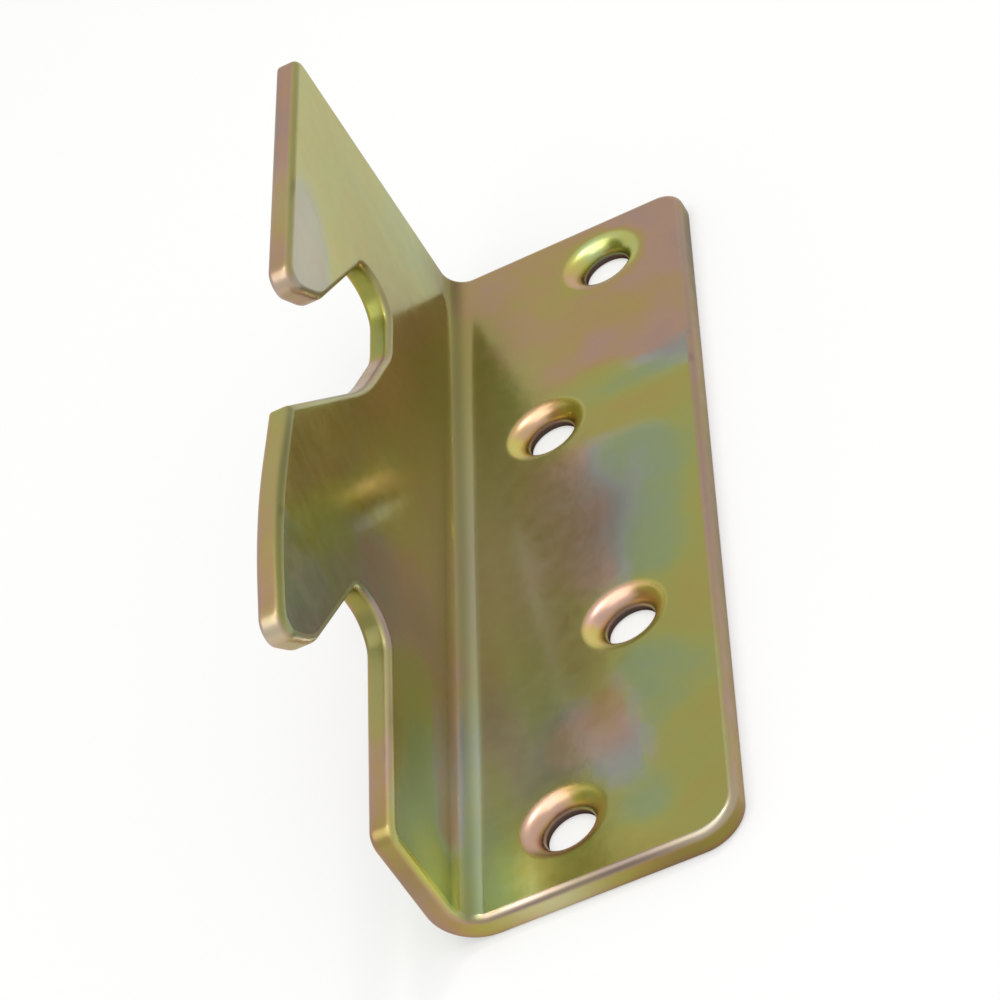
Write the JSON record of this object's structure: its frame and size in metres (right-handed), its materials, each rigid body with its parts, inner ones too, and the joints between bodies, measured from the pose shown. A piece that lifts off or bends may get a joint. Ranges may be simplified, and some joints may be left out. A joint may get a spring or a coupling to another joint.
{
  "type": "bed rail fastener",
  "caption": "Folded steel hook bracket with a countersunk screw plate, which hangs a bed's side rail on the pins in the bed post.",
  "frame": {"origin": "on the screw plate's back, under the middle of the part's bounding box", "axes": "+Z out of the plate's back face, along the rise of the hook flange; +Y along the bend, from the foot that the hooks point to towards the upper end; +X across the plate, from the flange towards the free edge"},
  "size_m": [0.03, 0.098, 0.0368],
  "materials": {
    "yellow_zinc_steel": "yellow iridescent passivation over zinc plating, semi-gloss, with tumbled edges"
  },
  "bodies": {
    "root": {"hook_bracket": "yellow_zinc_steel"}
  },
  "joints": []
}
